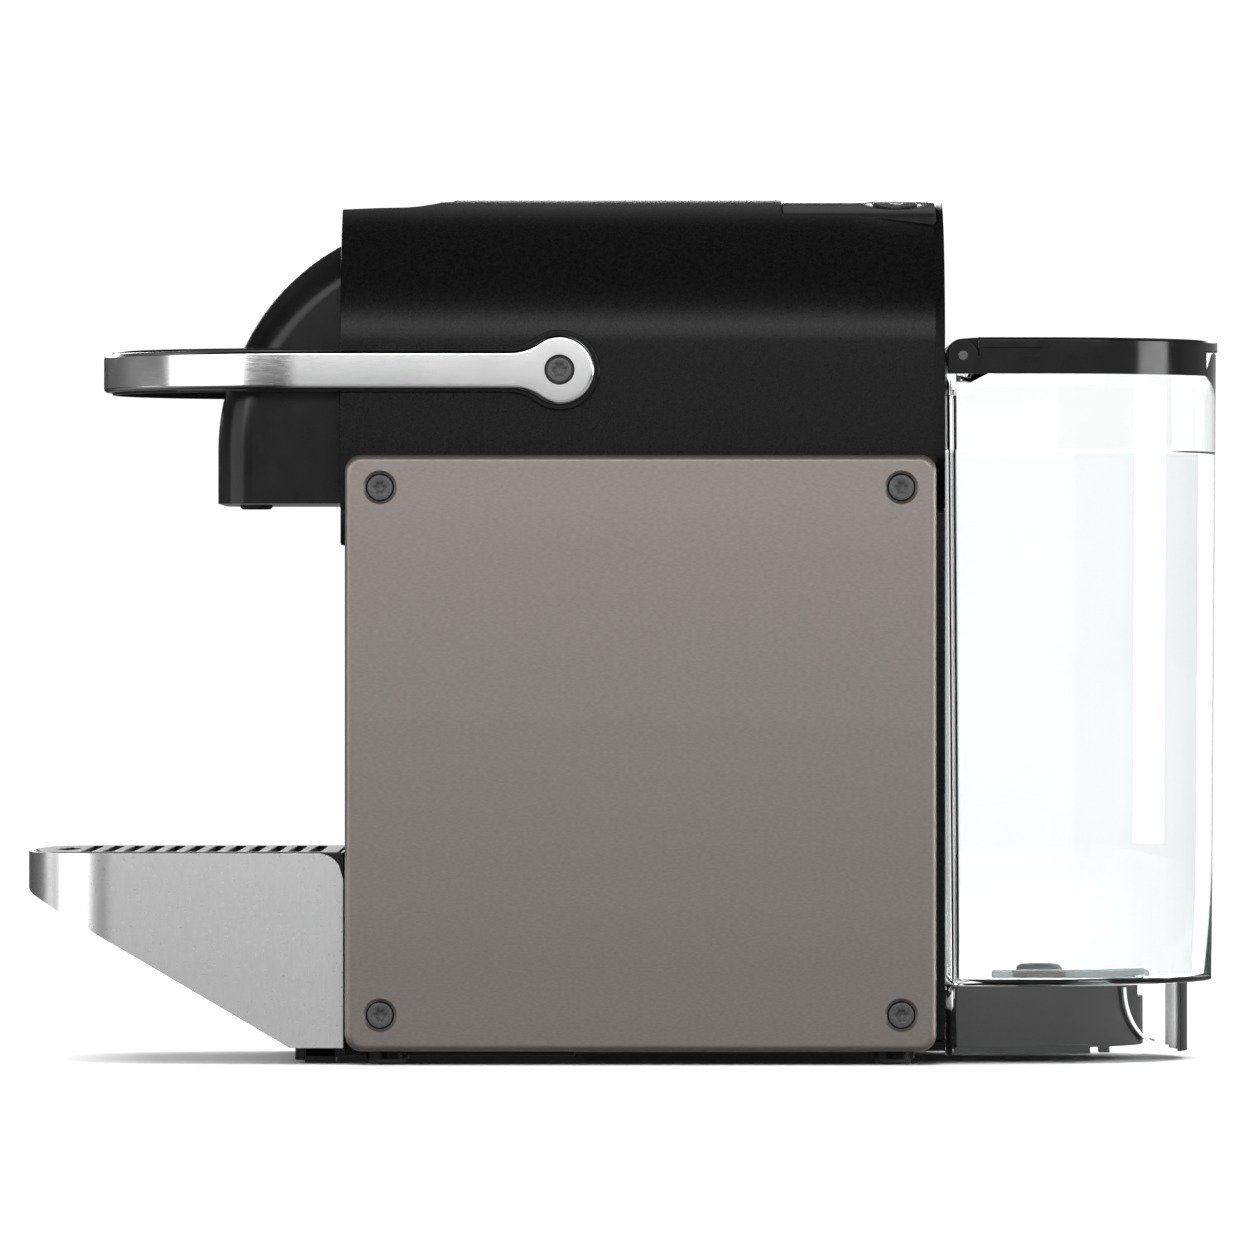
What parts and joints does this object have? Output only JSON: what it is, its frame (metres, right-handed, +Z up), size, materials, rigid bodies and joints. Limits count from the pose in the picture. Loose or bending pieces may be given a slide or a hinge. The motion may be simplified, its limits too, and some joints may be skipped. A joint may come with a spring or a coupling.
{
  "type": "pod coffee machine",
  "caption": "Narrow countertop pod coffee machine with side panels, a U-shaped lever, a pull-out drip unit and a lift-off rear water tank.",
  "frame": {"origin": "on the table under the middle of the machine's overall box", "axes": "+Z up, -Y towards the cup and the user, +X the machine's left-hand side as the user faces it, across its width"},
  "size_m": [0.111, 0.326, 0.235],
  "materials": {
    "titanium_panel": "satin metallic, fine brushed",
    "textured_black": "fine-grained matt black",
    "gloss_black": "polished black",
    "black_plastic": "moulded",
    "button_black": "satin",
    "chrome_trim": "polished with satin sides",
    "silver_cover": "satin silver",
    "dark_screws": "blackened",
    "steel": "bright",
    "feet_rubber": "matt",
    "red_seal": "silicone",
    "clear_tank": "clear plastic",
    "heater_aluminium": "cast",
    "brass_fittings": "turned",
    "pump_shell": "dark",
    "meter_white": "moulded",
    "board_green": "laminate",
    "hose_clear": "silicone"
  },
  "bodies": {
    "machine": {"chassis_base": "textured_black", "rubber_feet": "feet_rubber", "base_screws": "dark_screws", "side_panel_right": "titanium_panel", "side_panel_left": "titanium_panel", "side_panel_screws": "dark_screws", "frame_right": "textured_black", "frame_left": "textured_black", "top_cover": "textured_black", "rear_cover": "textured_black", "cord_gland": "feet_rubber", "front_nose": "gloss_black", "coffee_spout": "black_plastic", "brew_frame": "black_plastic", "guide_rods": "steel", "extraction_plate": "steel", "outlet_funnel": "black_plastic", "tank_pedestal": "black_plastic", "tank_rests": "black_plastic", "tank_spigot": "black_plastic", "spigot_seal": "feet_rubber", "control_panel": "gloss_black", "pump_body": "pump_shell", "pump_spring": "steel", "hose_fittings": "brass_fittings", "pump_mounts": "feet_rubber", "flow_meter_body": "meter_white", "flow_meter_cap": "black_plastic", "thermoblock": "heater_aluminium", "water_sleeve": "brass_fittings", "heater_sensors": "brass_fittings", "circuit_board": "board_green", "board_components": "black_plastic", "water_hoses": "hose_clear"},
    "lever_arm": {"lever": "chrome_trim", "lever_liner": "gloss_black", "lever_screws": "dark_screws", "cam_discs": "black_plastic"},
    "cage": {"capsule_cage": "black_plastic", "cage_seal": "feet_rubber", "piercing_blades": "steel", "drive_pins": "steel"},
    "shutter": {"slot_shutter": "black_plastic"},
    "drip_unit": {"drip_base": "textured_black", "capsule_container": "textured_black", "drip_tray_cover": "silver_cover", "drip_tray": "black_plastic"},
    "grid": {"drip_grid": "black_plastic"},
    "tank": {"water_tank": "clear_tank", "tank_skirt": "clear_tank", "lid_hinge_pins": "steel", "valve_housing": "black_plastic", "valve_seal": "red_seal", "valve_spring": "steel"},
    "lid": {"tank_lid": "gloss_black"},
    "foot_valve": {"tank_valve": "black_plastic"},
    "lungo_key": {"lungo_button": "button_black"},
    "espresso_key": {"espresso_button": "button_black"},
    "piston": {"pump_piston": "steel"},
    "rotor": {"flow_meter_rotor": "meter_white"}
  },
  "joints": [
    {"name": "lever_hinge", "type": "hinge", "parent": "machine", "child": "lever_arm", "pos_m": [0, -0.0173, 0.18745], "axis": [-1, 0, 0], "range_deg": [0, 95]},
    {"name": "cage_slide", "type": "slide", "parent": "machine", "child": "cage", "axis": [0, 1, 0], "range_m": [0, 0.0251]},
    {"name": "shutter_slide", "type": "slide", "parent": "machine", "child": "shutter", "axis": [0, 1, 0], "range_m": [0, 0.0289]},
    {"name": "unit_slide", "type": "slide", "parent": "machine", "child": "drip_unit", "axis": [0, -1, 0], "range_m": [0, 0.12]},
    {"name": "grid_lift", "type": "slide", "parent": "drip_unit", "child": "grid", "axis": [0, 0, 1], "range_m": [0, 0.02]},
    {"name": "tank_lift", "type": "slide", "parent": "machine", "child": "tank", "axis": [0, 0, 1], "range_m": [0, 0.06]},
    {"name": "lid_hinge", "type": "hinge", "parent": "tank", "child": "lid", "pos_m": [0, 0.0917, 0.19145], "axis": [1, 0, 0], "range_deg": [0, 78]},
    {"name": "valve_lift", "type": "slide", "parent": "tank", "child": "foot_valve", "axis": [0, 0, 1], "range_m": [0, 0.0014], "stiffness_N_per_m": 200, "deforming": ["valve_spring"]},
    {"name": "lungo_press", "type": "slide", "parent": "machine", "child": "lungo_key", "axis": [0, 0, -1], "range_m": [0, 0.001], "stiffness_N_per_m": 1200},
    {"name": "espresso_press", "type": "slide", "parent": "machine", "child": "espresso_key", "axis": [0, 0, -1], "range_m": [0, 0.001], "stiffness_N_per_m": 1200},
    {"name": "piston_stroke", "type": "slide", "parent": "machine", "child": "piston", "axis": [0, -1, 0], "range_m": [0, 0.003], "stiffness_N_per_m": 1500},
    {"name": "rotor_spin", "type": "hinge", "parent": "machine", "child": "rotor", "pos_m": [-0.02, 0.058, 0.054], "axis": [0, 0, 1], "continuous": true}
  ],
  "couplings": [
    {"joint": "cage_slide", "follows": "lever_hinge", "m_per_rad": 0.015078},
    {"joint": "shutter_slide", "follows": "lever_hinge", "m_per_rad": 0.01737}
  ]
}
